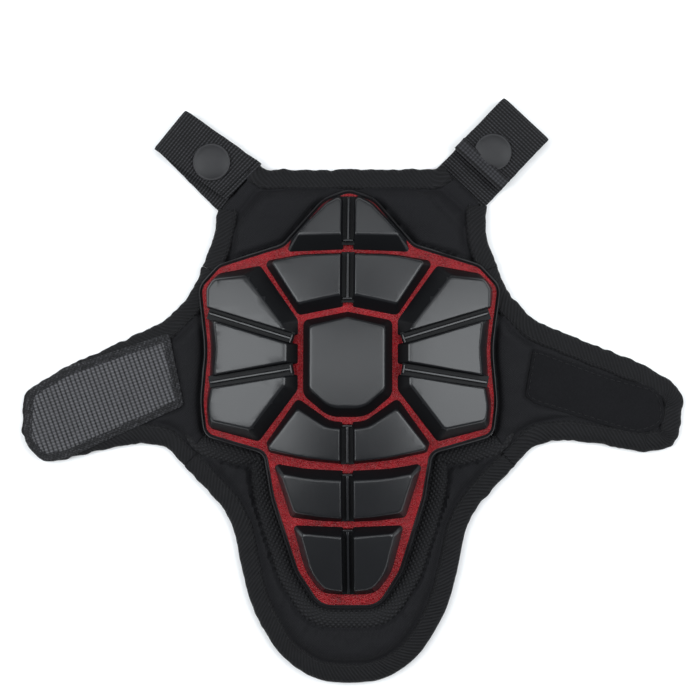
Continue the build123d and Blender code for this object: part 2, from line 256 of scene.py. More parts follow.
def part_of(line, first, last):
    """The stretch of a closed line from near one point to near another, going on along it."""
    a = int(np.argmin(np.hypot(*(line - np.array(first)).T)))
    b = int(np.argmin(np.hypot(*(line - np.array(last)).T)))
    return line[a:b + 1] if a <= b else np.vstack([line[a:], line[:b + 1]])


def smooth(low, high, value):
    """0 below low, 1 above high and a soft step between."""
    share = np.clip((value - low) / (high - low), 0, 1)
    return share * share * (3 - 2 * share)


def ridge(away, width):
    """1 on a line and fading to nothing at about twice the width."""
    return np.exp(-(away / width) ** 2)


def wrinkle(x, y, size, seed):
    """Smooth noise between about -1 and 1, its grain size in millimetres."""
    return noise.noise(Vector((x / size + seed, y / size - seed, seed * 0.7)))


ARMOUR = symmetric(ARMOUR_HALF)
PAD_RIGHT = SHOULDER["right"] + WING_EDGE["right"] + TAIL_EDGE
PAD_LEFT = SHOULDER["left"] + WING_EDGE["left"] + TAIL_EDGE
OUTLINE = PAD_RIGHT + mirrored(PAD_LEFT)
EDGE = eased(spaced(rounded(OUTLINE, 10), 1.0, closed=True), -50, -75)
ARMOUR_EDGE = spaced(rounded(ARMOUR, 8), 1.2, closed=True)

# ---------------------------------------------------------------- mesh tools


def deselect():
    if bpy.context.object and bpy.context.object.mode != "OBJECT":
        bpy.ops.object.mode_set(mode="OBJECT")
    bpy.ops.object.select_all(action="DESELECT")


def pick(piece):
    """Make one piece the only selected and active one."""
    deselect()
    piece.select_set(True)
    bpy.context.view_layer.objects.active = piece


def editing(piece, *steps):
    """Run edit-mode steps on the whole of one piece."""
    pick(piece)
    bpy.ops.object.mode_set(mode="EDIT")
    bpy.ops.mesh.select_mode(type="VERT")
    bpy.ops.mesh.select_all(action="SELECT")
    for step in steps:
        step()
    bpy.ops.object.mode_set(mode="OBJECT")
    return piece


def places_of(piece):
    """Vertex places in millimetres, as an array."""
    flat = np.empty(len(piece.data.vertices) * 3)
    piece.data.vertices.foreach_get("co", flat)
    return flat.reshape(-1, 3) / MM


def place(piece, places):
    piece.data.vertices.foreach_set("co", (np.asarray(places) * MM).ravel())
    piece.data.update()


def outward(piece):
    """Merge doubles and turn every face outwards."""
    return editing(piece, lambda: bpy.ops.mesh.remove_doubles(threshold=0.00001),
                   lambda: bpy.ops.mesh.select_all(action="SELECT"),
                   lambda: bpy.ops.mesh.normals_make_consistent(inside=False))


def modify(piece, kind, **settings):
    """Add one modifier and apply it."""
    pick(piece)
    modifier = piece.modifiers.new(kind.title(), kind)
    for name, value in settings.items():
        setattr(modifier, name, value)
    bpy.ops.object.modifier_apply(modifier=modifier.name)
    return piece


def soften(piece, degrees=35):
    pick(piece)
    bpy.ops.object.shade_smooth_by_angle(angle=radians(degrees))
    return piece


def join(pieces, name):
    """Join pieces into the first and name it."""
    deselect()
    for piece in pieces:
        piece.select_set(True)
    bpy.context.view_layer.objects.active = pieces[0]
    if len(pieces) > 1:
        bpy.ops.object.join()
    pieces[0].name = pieces[0].data.name = name
    return pieces[0]


def face_piece(name, points, level=0.0):
    """A flat face inside an outline, started from a filled circle."""
    deselect()
    bpy.ops.mesh.primitive_circle_add(vertices=len(points), radius=1, fill_type="NGON")
    piece = bpy.context.object
    piece.name = piece.data.name = name
    place(piece, [(x, y, level) for x, y in points])
    return piece


def block(name, foot, top, low, high, edge=0.0):
    """A solid from a foot outline up to a top outline with as many points, its top edge rounded."""
    piece = face_piece(name, foot, low)
    editing(piece, lambda: bpy.ops.mesh.extrude_region_move(
        TRANSFORM_OT_translate={"value": (0, 0, (high - low) * MM)}))
    places = places_of(piece)
    corners = np.array(foot, float)
    for row in places:
        if row[2] > (low + high) / 2:
            row[:2] = top[int(np.argmin(np.hypot(*(corners - row[:2]).T)))]
    place(piece, places)
    if edge:
        bevel_top(piece, high, edge)
    return outward(piece)


def on_marked(piece, kind, marked, step):
    """Run one edit-mode step on the marked vertices or edges alone."""
    kinds = ("vertices", "edges", "polygons")
    for each in kinds:
        items = getattr(piece.data, each)
        items.foreach_set("select", marked if each == kind else np.zeros(len(items), bool))
    pick(piece)
    bpy.context.tool_settings.mesh_select_mode = [each == kind for each in kinds]
    bpy.ops.object.mode_set(mode="EDIT")
    step()
    bpy.ops.object.mode_set(mode="OBJECT")


def bevel_top(piece, high, edge):
    """Round the edges that lie wholly at the top level."""
    level = [abs(vertex.co.z / MM - high) < 0.01 for vertex in piece.data.vertices]
    on_marked(piece, "edges", [all(level[v] for v in side.vertices) for side in piece.data.edges],
              lambda: bpy.ops.mesh.bevel(offset=edge * MM, segments=3, profile=0.5, affect="EDGES"))


def sliced(piece, step):
    """Cut a piece along an even grid in plan, so that it can bend."""
    places = places_of(piece)
    cuts = []
    for axis in range(2):
        low, high = places[:, axis].min(), places[:, axis].max()
        for k in range(int(low // step) + 1, int(high // step) + 1):
            point, normal = [0, 0, 0], [0, 0, 0]
            point[axis], normal[axis] = k * step * MM, 1
            cuts.append((point, normal))

    def cut():
        for point, normal in cuts:
            bpy.ops.mesh.select_all(action="SELECT")
            bpy.ops.mesh.bisect(plane_co=point, plane_no=normal)

    return editing(piece, cut)


def lifted(piece):
    """Raise a piece modelled flat onto the armour's curved surface."""
    places = places_of(piece)
    places[:, 2] = [dome(x, y, height) for x, y, height in places]
    place(piece, places)
    return piece


def reflected(piece, name):
    """A copy of a piece on the other side of the middle, with its own mesh."""
    copy = piece.copy()
    copy.data = piece.data.copy()
    copy.name = copy.data.name = name
    bpy.context.scene.collection.objects.link(copy)
    place(copy, places_of(copy) * (-1, 1, 1))
    return outward(copy)


def surface(name, columns, rows, where, closed=False):
    """A sheet of quads whose vertex (i, j) lies at where[j][i], with UVs in metres along it."""
    deselect()
    bpy.ops.mesh.primitive_grid_add(x_subdivisions=columns - 1, y_subdivisions=rows - 1, size=2)
    piece = bpy.context.object
    piece.name = piece.data.name = name
    spots = np.asarray(where, float).reshape(rows, columns, 3)
    place(piece, spots.reshape(-1, 3))
    along = np.zeros((rows, columns))
    along[:, 1:] = np.cumsum(np.linalg.norm(np.diff(spots, axis=1), axis=2), axis=1)
    across = np.zeros((rows, columns))
    across[1:] = np.cumsum(np.linalg.norm(np.diff(spots, axis=0), axis=2), axis=0)
    middle = along[rows // 2]
    loops = np.empty(len(piece.data.loops), int)
    piece.data.loops.foreach_get("vertex_index", loops)
    spread = np.column_stack([middle[loops % columns], across.ravel()[loops]]) * MM
    piece.data.uv_layers.active.data.foreach_set("uv", spread.ravel())
    return outward(piece) if closed else piece


def swept(name, line, section, closed=False):
    """A sheet along a plan line; section(i) gives (inward distance, level) pairs at point i."""
    side = normals(line, closed)
    rows = [section(i) for i in range(len(line))]
    spots = [[(*(line[i] + side[i] * rows[i][j][0]), rows[i][j][1]) for i in range(len(line))]
             for j in range(len(rows[0]))]
    if closed:
        spots = [row + row[:1] for row in spots]
    return surface(name, len(spots[0]), len(spots), spots, closed)


def finish(piece, material):
    piece.data.materials.clear()
    piece.data.materials.append(material)


def stand_for(piece, slot, *nodes):
    """Hide the nodes that a piece replaces; its slot is not used."""
    if nodes:
        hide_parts(*nodes)


def settle(piece, body, slot, material, *nodes):
    """Finish a rigid piece and let it ride on a body."""
    finish(piece, material)
    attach(piece, body)
    stand_for(piece, slot, *nodes)


def bend(piece, bodies, ends, slot, material, *nodes):
    """Finish a piece, bake its transform into its mesh and hide the nodes it replaces; its bodies and ends
    are not used.
    """
    finish(piece, material)
    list(bodies)
    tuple(ends[0])
    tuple(ends[1])
    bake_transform(piece)
    stand_for(piece, slot, *nodes)


def cloth_strip(name, line, section, levels):
    """Thin cloth swept along a plan line."""
    piece = modify(swept(name, line, section), "SOLIDIFY", thickness=0.0006, offset=-1)
    modify(piece, "SUBSURF", levels=levels, render_levels=levels)
    return soften(piece, 60)


def stitches(name, line, levels, pitch=3.4, length=2.3, thick=0.55):
    """A row of thread stitches along a plan line, each a copy of one modelled stitch."""
    deselect()
    bpy.ops.mesh.primitive_cylinder_add(vertices=6, radius=thick / 2 * MM, depth=length * MM,
                                        end_fill_type="NGON")
    stitch = bpy.context.object
    editing(stitch, lambda: bpy.ops.mesh.bevel(offset=thick * 0.3 * MM, segments=1, affect="EDGES"))
    shape = places_of(stitch)[:, [2, 0, 1]]
    shape[:, 2] -= (shape[:, 0] / length) ** 2 * thick
    faces = [list(face.vertices) for face in stitch.data.polygons]
    bpy.data.objects.remove(stitch)
    points = spaced(line, pitch)
    run = np.gradient(points, axis=0)
    run /= np.hypot(*run.T)[:, None]
    everything, sides = [], []
    for (x, y), (c, s), level in zip(points, run, levels(points)):
        sides += [[v + len(everything) for v in face] for face in faces]
        everything += [(x + a * c - b * s, y + a * s + b * c, level + z) for a, b, z in shape]
    mesh = bpy.data.meshes.new(name)
    mesh.from_pydata([Vector(p) * MM for p in everything], [], sides)
    piece = bpy.data.objects.new(name, mesh)
    bpy.context.scene.collection.objects.link(piece)
    return soften(outward(piece), 60)


# ---------------------------------------------------------------- materials


class Value:
    """A node socket that can be used in Python arithmetic."""

    def __init__(self, look, socket):
        self.look, self.socket = look, socket

    def maths(self, operation, *values):
        return self.look.node("ShaderNodeMath", {"operation": operation}, dict(enumerate(values)))

    def __add__(self, other):
        return self.maths("ADD", self, other)

    def __sub__(self, other):
        return self.maths("SUBTRACT", self, other)

    def __rsub__(self, other):
        return self.maths("SUBTRACT", other, self)

    def __mul__(self, other):
        return self.maths("MULTIPLY", self, other)

    __radd__, __rmul__ = __add__, __mul__

    def wave(self, pitch):
        """0 to 1 and back once in every pitch."""
        return self.maths("SINE", self * (2 * pi / pitch)) * 0.5 + 0.5

    def power(self, exponent):
        return self.maths("POWER", self, exponent)


class Look:
    """One procedural material."""

    def __init__(self, name, **shader):
        self.material = bpy.data.materials.new(name)
        self.material.use_nodes = True
        self.tree = self.material.node_tree
        self.shader = self.tree.nodes["Principled BSDF"]
        for socket, value in shader.items():
            self.shader.inputs[socket.replace("_", " ")].default_value = value

    def node(self, kind, settings=None, inputs=None, output=0):
        made = self.tree.nodes.new(kind)
        for name, value in (settings or {}).items():
            setattr(made, name, value)
        for name, value in (inputs or {}).items():
            if isinstance(value, Value):
                self.tree.links.new(value.socket, made.inputs[name])
            else:
                made.inputs[name].default_value = value
        return Value(self, made.outputs[output])

    def place(self):
        return self.node("ShaderNodeTexCoord", output="Object")

    def split(self, vector):
        """The first two parts of a vector."""
        first = self.node("ShaderNodeSeparateXYZ", None, {0: vector})
        return first, Value(self, first.socket.node.outputs[1])

    def along_uv(self):
        """Distances along and across a strip, from its UVs."""
        return self.split(self.node("ShaderNodeTexCoord", output="UV"))

    def axes(self, turn):
        """Distances along object X and Y, turned by some degrees in plan."""
        return self.split(self.node("ShaderNodeMapping", None, {0: self.place(), 2: (0, 0, radians(turn))}))

    def rib(self):
        """Height of the modelled ribs, from 0 to 1; the webbing and hook looks paint light on the high parts
        and shade on the low parts from it.
        """
        return self.node("ShaderNodeAttribute", {"attribute_name": "rib"}, output="Fac")

    def grain(self, size, detail=2.0, rough=0.5):
        """Noise from 0 to 1 with its grain in metres."""
        return self.node("ShaderNodeTexNoise", None,
                         {"Vector": self.place(), "Scale": 1 / size, "Detail": detail, "Roughness": rough})

    def cells(self, size):
        """0 in the middle of each cell, rising to its edge."""
        return self.node("ShaderNodeTexVoronoi", None, {"Vector": self.place(), "Scale": 1 / size})

    def feed(self, **sockets):
        for name, value in sockets.items():
            self.tree.links.new(value.socket, self.shader.inputs[name.replace("_", " ")])

    def varied(self, tint, colour, rough, relief=None):
        """The material, once a share sets its tint's factor and another its roughness, over some relief."""
        share, low, high = colour
        low, high = ((*(channel * factor for channel in tint), 1) for factor in (low, high))
        mixed = self.node("ShaderNodeMix", {"data_type": "RGBA"}, {0: share, 6: low, 7: high}, 2)
        self.feed(Base_Color=mixed)
        share, low, high = rough
        self.feed(Roughness=share * (high - low) + low)
        if relief:
            height, distance = relief
            self.feed(Normal=self.node("ShaderNodeBump", None, {"Height": height, "Distance": distance}))
        return self.material


def black_shell_look(tint):
    look = Look("black_shell", Specular_IOR_Level=0.5)
    cloud, grit = look.grain(0.03, 3), look.grain(0.0006, 2)
    return look.varied(tint, (cloud * 0.7 + grit * 0.3, 0.75, 1.3), (cloud * 0.5 + grit * 0.5, 0.24, 0.36),
                       (grit, 0.00003))


def shell_wall_painted_shade_look(tint):
    """Grained finish in the grooves and on the plates' walls, its colour darkened as painted shade."""
    look = Look("shell_walls", Specular_IOR_Level=0.14)
    cloud, grit = look.grain(0.02, 3), look.grain(0.0005, 2)
    return look.varied(tint, (cloud * 0.5 + grit * 0.5, 0.4, 0.8), (grit, 0.42, 0.58), (grit, 0.00004))


def rim_look(tint):
    look = Look("rim_rubber", Specular_IOR_Level=0.22)
    cloud, grit = look.grain(0.012, 3), look.grain(0.0005, 2)
    return look.varied(tint, (cloud, 0.6, 1.5), (grit, 0.30, 0.5), (grit, 0.00004))


def red_shell_look(tint):
    look = Look("red_shell", Specular_IOR_Level=0.4)
    cloud, pores, grit = look.grain(0.006, 4), look.cells(0.0011), look.grain(0.0006, 3)
    return look.varied(tint, (cloud * 0.9 + grit * 0.9 - 0.4, 0.2, 1.9), (grit, 0.26, 0.5),
                       (pores * 0.6 + grit * 1.2 + cloud, 0.0008))


def knit_look(tint):
    """Fine tricot fabric."""
    pitch = 0.0011
    look = Look("pad_fabric", Sheen_Weight=0.03, Sheen_Roughness=0.45, Specular_IOR_Level=0.14)
    x, y = look.axes(38)
    loops = x.wave(pitch) * y.wave(pitch * 0.8)
    cloud, fibre = look.grain(0.018, 4), look.grain(0.0004, 2)
    return look.varied(tint, (loops * 0.35 + cloud * 0.35 + fibre * 0.3, 0.45, 1.6), (cloud, 0.62, 0.85),
                       (loops + fibre * 0.5, 0.00012))


def lining_look(tint):
    """Open spacer mesh against the body."""
    look = Look("lining_mesh", Sheen_Weight=0.1, Specular_IOR_Level=0.3)
    x, y = look.axes(0)
    holes = (x.wave(0.0028) * y.wave(0.0034)).power(1.6)
    fibre = look.grain(0.0004, 2)
    return look.varied(tint, (holes * 0.8 + fibre * 0.2, 1.5, 0.25), (fibre, 0.7, 0.95),
                       (fibre * 0.3 - holes, 0.0004))


def twill_look(tint):
    """Woven tape with a diagonal rib, along the strip's UVs."""
    pitch = 0.0021
    look = Look("binding_tape", Sheen_Weight=0.03, Sheen_Roughness=0.4, Specular_IOR_Level=0.16)
    along, across = look.along_uv()
    rib = (along + across * 0.8).wave(pitch)
    yarn = (along * 0.8 - across).wave(pitch * 0.36)
    cloud, fibre = look.grain(0.012, 3), look.grain(0.0004, 2)
    return look.varied(tint, (rib * 0.5 + yarn * 0.15 + cloud * 0.35, 0.35, 1.75), (fibre, 0.55, 0.85),
                       (rib + yarn * 0.3 + fibre * 0.3, 0.00022))


def webbing_look(tint):
    """Plain-woven strap: fine warp lines across the modelled ribs, with painted highlights on the rib tops
    and painted shade between them.
    """
    look = Look("webbing", Sheen_Weight=0.03, Specular_IOR_Level=0.2)
    warp = look.along_uv()[1].wave(0.0017)
    cloud, fibre = look.grain(0.006, 3), look.grain(0.0003, 2)
    # Colour rises with the modelled rib height: painted highlight on the rib tops, painted shade between
    # them.
    return look.varied(tint, (look.rib().power(1.5) * (warp * 0.6 + 0.4) * (cloud * 0.6 + 0.7), 0.1, 4.6),
                       (fibre, 0.5, 0.8), (warp * 0.6 + fibre * 0.4, 0.00016))


def mesh_trim_look(tint):
    """Coarse knitted mesh with a diamond grain."""
    look = Look("mesh_trim", Sheen_Weight=0.03, Specular_IOR_Level=0.2)
    along, across = look.along_uv()
    diamonds = ((along + across).wave(0.0026) * (along - across).wave(0.0026)).power(0.8)
    fibre = look.grain(0.0005, 2)
    return look.varied(tint, (diamonds * 0.7 + fibre * 0.3, 0.3, 2.0), (fibre, 0.55, 0.85),
                       (diamonds + fibre * 0.3, 0.0004))


def hook_look(tint):
    look = Look("hook_plastic", Specular_IOR_Level=0.45)
    fibre, cloud = look.grain(0.0005, 2), look.grain(0.01, 3)
    # Colour rises with the modelled hook height: painted highlight on the hook rows, painted shade between
    # them.
    return look.varied(tint, (look.rib().power(1.4) * (cloud * 0.5 + 0.75), 0.02, 2.5), (fibre, 0.28, 0.55),
                       (fibre, 0.00012))


def selvedge_look(tint):
    """Flat woven edge of the hook tape."""
    look = Look("hook_selvedge", Specular_IOR_Level=0.15)
    x, y = look.axes(20)
    weave = x.wave(0.0016) * 0.5 + y.wave(0.0011) * 0.5
    cloud, fibre = look.grain(0.006, 3), look.grain(0.0004, 2)
    flecks = look.grain(0.0009, 2).power(4) * 5
    return look.varied(tint, (weave * flecks + cloud * 0.2, 0.03, 1.3), (fibre, 0.45, 0.75),
                       (weave + fibre * 0.3, 0.0002))


def brushed_look(tint):
    """Brushed loop fabric."""
    look = Look("loop_fabric", Sheen_Weight=0.04, Sheen_Roughness=0.5, Specular_IOR_Level=0.12)
    x, y = look.axes(18)
    nap, curl, cloud = look.grain(0.0006, 4, 0.7), look.cells(0.0008), look.grain(0.014, 3)
    return look.varied(tint, (nap * 0.4 + curl * 0.25 + cloud * 0.35, 0.4, 1.5), (nap, 0.75, 0.95),
                       (nap + curl * 0.6 + x.wave(0.0016) * 0.3 + y.wave(0.004) * 0.2, 0.0002))


def snap_look(tint):
    look = Look("snap_plastic", Specular_IOR_Level=0.28)
    cloud, grit = look.grain(0.006, 3), look.grain(0.0004, 3)
    return look.varied(tint, (cloud * 0.6 + grit * 0.4, 0.8, 1.25), (grit, 0.42, 0.6), (grit, 0.00003))


def foam_look(tint):
    look = Look("foam", Specular_IOR_Level=0.2)
    pores, cloud = look.cells(0.0012), look.grain(0.01, 3)
    return look.varied(tint, (pores * 0.7 + cloud * 0.3, 0.5, 1.3), (cloud, 0.8, 0.95), (pores, 0.0003))


def thread_look(tint):
    look = Look("thread", Sheen_Weight=0.03, Specular_IOR_Level=0.2)
    x, y = look.axes(20)
    twist, cloud = (x + y).wave(0.0007), look.grain(0.01, 3)
    return look.varied(tint, (twist * 0.6 + cloud * 0.4, 0.5, 1.7), (cloud, 0.4, 0.6), (twist, 0.0001))


def floor_look(tint):
    look = Look("studio_floor", Specular_IOR_Level=0.1)
    cloud = look.grain(0.4, 2)
    return look.varied(tint, (cloud, 0.99, 1), (cloud, 0.85, 0.95))


# ---------------------------------------------------------------- settings


def colour(name, description, default):
    return FloatVectorProperty(name=name, description=description, subtype="COLOR", size=3,
                               min=0, max=1, default=default)


def length(name, description, default):
    return FloatProperty(name=name, description=description, unit="LENGTH", min=0, default=default)


class ProtectorColours(PropertyGroup):
    shell: colour("Plates", "Satin black of the hard plates", (0.0068, 0.0073, 0.0085))
    base: colour("Base", "Red of the moulded base", (0.20, 0.0025, 0.006))
    rim: colour("Rim", "Black of the rim round the shell", (0.007, 0.007, 0.008))
    fabric: colour("Fabric", "Black of the outer fabric", (0.0072, 0.0072, 0.0085))
    binding: colour("Binding", "Black of the woven edge binding", (0.0062, 0.0062, 0.007))
    lining: colour("Lining", "Black of the mesh against the back", (0.03, 0.03, 0.034))
    webbing: colour("Webbing", "Black of the shoulder webbing", (0.0075, 0.0075, 0.0084))
    snap: colour("Snaps", "Black of the snap fasteners", (0.019, 0.019, 0.0205))
    hook: colour("Hook tape", "Black of the hooks", (0.042, 0.042, 0.046))
    loop: colour("Loop patch", "Black of the brushed loop fabric", (0.0056, 0.0056, 0.0066))
    trim: colour("Trim", "Black of the knitted mesh trim", (0.0075, 0.0075, 0.0086))
    thread: colour("Thread", "Black of the stitching thread", (0.008, 0.008, 0.009))
    foam: colour("Foam", "Grey of the impact foam", (0.06, 0.06, 0.065))


class ProtectorSizes(PropertyGroup):
    plate_edge: length("Plate edge", "Rounding of the plates' top edges", 0.0009)
    tape_width: length("Binding width", "Visible width of the edge binding", 0.0100)
    rib_pitch: length("Webbing rib", "Distance between the webbing's ribs", 0.0015)
    hook_pitch: length("Hook rows", "Distance between the rows of hooks", 0.0022)
    swell: length("Swell", "Most that the padding may swell", 0.0020)


class ProtectorStage(PropertyGroup):
    camera_height: length("Camera height", "Height of the camera above the floor", 0.85)
    camera_side: length("Camera side", "How far the camera stands to the right", 0.035)
    view_width: length("View width", "Width of floor in view", 0.35)
    floor: colour("Floor", "White of the studio floor", (0.92, 0.92, 0.92))


SETTINGS = {"protector_colours": ProtectorColours, "protector_sizes": ProtectorSizes,
            "protector_stage": ProtectorStage}

# ---------------------------------------------------------------- shell

PLATE_HEIGHT, GROOVE_FLOOR, RIB_HEIGHT = 7.0, 2.6, 4.4
SUNK = -0.8              # foot of the plates under the red base's surface


def bar(start, end, low_width, top_width, height, edge=0.35):
    """A straight bar between two plan points."""
    run = (Vector(end) - Vector(start)).normalized()
    side = Vector((run.y, -run.x))

    def corners(width):
        half = side * width / 2
        return [Vector(start) + half, Vector(start) - half, Vector(end) - half, Vector(end) + half]

    foot, top = ([tuple(p) for p in corners(width)] for width in (low_width, top_width))
    return block("bar", foot, top, SUNK, height, edge)


def grooved(start, end, past):
    """The floor of a groove, which runs past the end, the low rib along it and the rib's flared end."""
    run = (Vector(end) - Vector(start)).normalized()
    flare = Vector((run.y, -run.x)) * 2.3
    tip = Vector(end)
    return [bar(Vector(start) - run * 0.5, tip + run * past, 6.6, 6.2, GROOVE_FLOOR, 0),
            bar(start, end, 1.9, 1.3, RIB_HEIGHT),
            bar(tip - flare, tip + flare, 1.7, 1.1, RIB_HEIGHT + 0.15)]


def plate(name, pads, grooves, edge):
    """One plate from its raised pads and its grooves, bent onto the dome."""
    pieces = []
    for foot, top in pads:
        foot, top = np.array(rounded(foot)), np.array(rounded(top))
        foot += (foot - top) * -SUNK / PLATE_HEIGHT
        pieces.append(block("raised_pad", foot, top, SUNK, PLATE_HEIGHT, edge))
    for groove in grooves:
        pieces += grooved(*groove)
    piece = sliced(join(pieces, name), 4.0)
    piece.data.polygons.foreach_set("material_index", painted_shade_faces(piece))
    soften(lifted(piece), 35)
    return modify(piece, "WEIGHTED_NORMAL", keep_sharp=True)


def painted_shade_faces(piece):
    """1 for grained inner walls and groove floors, which take a darker colour as painted shade; 0 for
    polished tops, ribs and outer walls.
    """
    faces = piece.data.polygons
    centres, facing = (np.array([getattr(face, name) for face in faces]) for name in ("center", "normal"))
    x, y, z = centres.T / MM
    away = facing[:, 0] * np.sign(x) > 0.5 * np.hypot(facing[:, 0], facing[:, 1])
    top, rib = z > PLATE_HEIGHT - 1.0, (facing[:, 2] > 0.95) & (z > RIB_HEIGHT - 0.2)
    outer = away & (facing[:, 2] < 0.9) & ((y < -45) | (y > 54) | (np.abs(x) > 60))
    return (~(top | rib | outer)).astype(np.int32)


class PROTECTOR_OT_plates(Operator):
    """Make the eight hard plates with their grooves and ribs"""

    bl_idname = "protector.plates"
    bl_label = "Plates"

    def execute(self, context):
        scene = context.scene
        edge = scene.protector_sizes.plate_edge / MM
        tint = scene.protector_colours.shell
        # The second material is darker: painted shade in the grooves and on the walls facing the middle.
        material, walls = black_shell_look(tint), shell_wall_painted_shade_look(tint)
        made = {}
        for name, (foot, top) in MIDDLE_PADS.items():
            start, end, past = MIDDLE_RIBS[name]
            pads = [(foot, top), (mirrored(foot), mirrored(top))]
            made[name] = plate(name + "_shape", pads, [((0, start), (0, end), past)], edge)
        made["centre_plate"] = plate("centre_plate_shape", [CENTRE_PAD], [], edge)
        right = plate("right_side_plate_shape", SIDE_PADS, SIDE_RIBS, edge)
        made["right_side_plate"] = right
        made["left_side_plate"] = soften(reflected(right, "left_side_plate_shape"), 35)
        for node, piece in made.items():
            piece.data.materials.append(material)
            piece.data.materials.append(walls)
            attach(piece, "pad")
            stand_for(piece, "black_shell", node)
        return {"FINISHED"}


class PROTECTOR_OT_shell(Operator):
    """Make the rubber rim, and finish the red base and the impact foam"""

    bl_idname = "protector.shell"
    bl_label = "Base and rim"

    def execute(self, context):
        tints = context.scene.protector_colours

        def section(i):
            x, y = ARMOUR_EDGE[i]
            crown = smooth(26, 34, abs(x)) if y > 40 else smooth(-52, -42, y)
            top, wide = dome(x, y), 3.0 + float(1.2 * crown + 2.0 * smooth(-100, -118, y))
            wave = 0.25 * wrinkle(x, y, 9, 3.1)
            return [(0.4 - wave, 5.0), (0 - wave, 5.6), (-0.1 - wave, top - 1.2), (0.05 - wave, top + 0.05),
                    (0.35 - wave, top + 0.9), (0.8, top + 1.0), (1.2, top + 0.5), (1.5, top + 0.15),
                    (wide - 0.1, top + 0.12), (wide, top - 0.1), (wide, top - 1.8), (2.2, 5.0),
                    (0.4 - wave, 5.0)]

        rim = soften(swept("armour_rim_shape", ARMOUR_EDGE, section, closed=True), 50)
        settle(rim, "pad", "rim", rim_look(tints.rim), "armour_rim")
        finish(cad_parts["armour_base"], red_shell_look(tints.base))
        finish(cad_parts["impact_foam"], foam_look(tints.foam))
        return {"FINISHED"}


# ---------------------------------------------------------------- fabric

WING_BEND = (0.074, 0.096)          # metres from the middle, each side of the wing's fold
# Levels of the padded fabric's top.
PAD_TOP, WING_DROP = 7.5, 2.1
PAD_THICK, WING_THICK = 7.0, 5.0    # before the padding swells
TAPE_GAP = 0.6           # under the edge binding, below its top
UNDER_SHELL, UNDER_TRIM, UNDER_PATCH = 4.6, 7.2, 4.7
SEAM_DIP, SHELL_DIP = 1.5, 2.2      # grooves beside the edge binding and round the shell
NECK_PANEL = [(-56, 53.5, 2), (-56, 64.5, 6), (-39, 83.5, 6), (-32, 86.5, 6), (0, 92.5, 60), (32, 86.5, 6),
              (39, 83.5, 6), (56, 64.5, 6), (56, 53.5, 2), (40, 30, 4), (-40, 30, 4)]
HOOK = mirrored(HOOK_OUTLINE)
TAPED = {"left": HOOK, "right": LOOP_OUTLINE}


def tape_top(x):
    """Level of the edge binding: the pad is thicker than the wings."""
    return 6.5 - 1.1 * smooth(76, 92, np.abs(x))


def middle_corners():
    def half(side):
        return (SHOULDER[side] + [WING_EDGE[side][0], (73.6, 47.5, 1), (70.2, 45.5, 1), (70.2, -31.5, 2),
                                  (83.6, -50.6, 1)] + TAIL_EDGE)
    return half("right") + mirrored(half("left"))


def wing_corners(side):
    corners = [(68, 46, 1), (73.8, 47.8, 1)] + WING_EDGE[side][1:] + [(80.2, -53.6, 1), (67.2, -34.5, 2)]
    return mirrored(corners) if side == "left" else corners


def fabric_level(places, side, swell):
    """Top level of the padded fabric at each place, swell, seams and folds included."""
    x, y = places.T
    edge, outside = distance(places, EDGE), -depth(places, ARMOUR)
    wing = smooth(76, 92, np.abs(x))
    level = PAD_TOP - WING_DROP * wing + (1.5 - 0.9 * wing) * smooth(10, 15.5, edge)
    level += 0.5 * swell * smooth(10.5, 16, edge)
    if side == "middle":
        panel = depth(places, NECK_PANEL)
        near = distance(places, rounded(NECK_PANEL)[14:-14], closed=False)
        above = smooth(44, 54, y)
        level += above * (0.9 * smooth(-1.5, 2.0, panel) - 1.3 * smooth(0.5, 4, -panel))
        level -= above * ridge(near, 1.1)
        level += 0.5 * (np.cos(x * 1.1 + 0.8 * np.sin(y * 0.5)) * ridge(outside - 12, 5)
                        * smooth(-112, -122, y))
    waist = ridge(np.hypot(np.abs(x) - 74, y + 52), 14)
    level += 0.55 * waist * np.sin(np.abs(x) * 0.62 + y * 0.5)
    folds = np.array([0.75 * wrinkle(a, b, 17, 1.3)
                      + 0.55 * wrinkle(a * 0.6 + b * 0.5, b - a * 0.4, 5.5, 6.2) for a, b in places])
    level += folds * smooth(9, 13, edge)
    level -= SEAM_DIP * ridge(edge - 10.6, 1.3)
    level -= SHELL_DIP * ridge(outside - 0.6, 1.4)
    if side == "middle":
        level = np.where((y < -30) & (outside < 10.5), np.minimum(level, UNDER_TRIM), level)
    else:
        level += (np.minimum(level, UNDER_PATCH) - level) * smooth(-1.5, 0.3, depth(places, TAPED[side]))
    level = np.where(edge < 10, np.minimum(level, tape_top(x) - TAPE_GAP), level)
    return np.where(outside < -0.6, UNDER_SHELL, level)


def swell_up(piece, most):
    """Blow the piece up as cloth; no vertex rises or sinks by more than the cap."""
    before = places_of(piece)
    pick(piece)
    bpy.ops.object.modifier_add(type="CLOTH")
    cloth = piece.modifiers[-1]
    cloth.settings.use_pressure = True
    cloth.settings.uniform_pressure_force = 4
    cloth.settings.effector_weights.gravity = 0
    cloth.settings.quality = 4
    for number in range(1, 21):
        bpy.context.scene.frame_set(number)
    bpy.ops.object.modifier_apply(modifier=cloth.name)
    bpy.context.scene.frame_set(1)
    after = places_of(piece)
    rise = np.clip(after[:, 2] - before[:, 2], -most, most)
    before[:, 2] = np.maximum(before[:, 2] + rise, 0)
    place(piece, before)


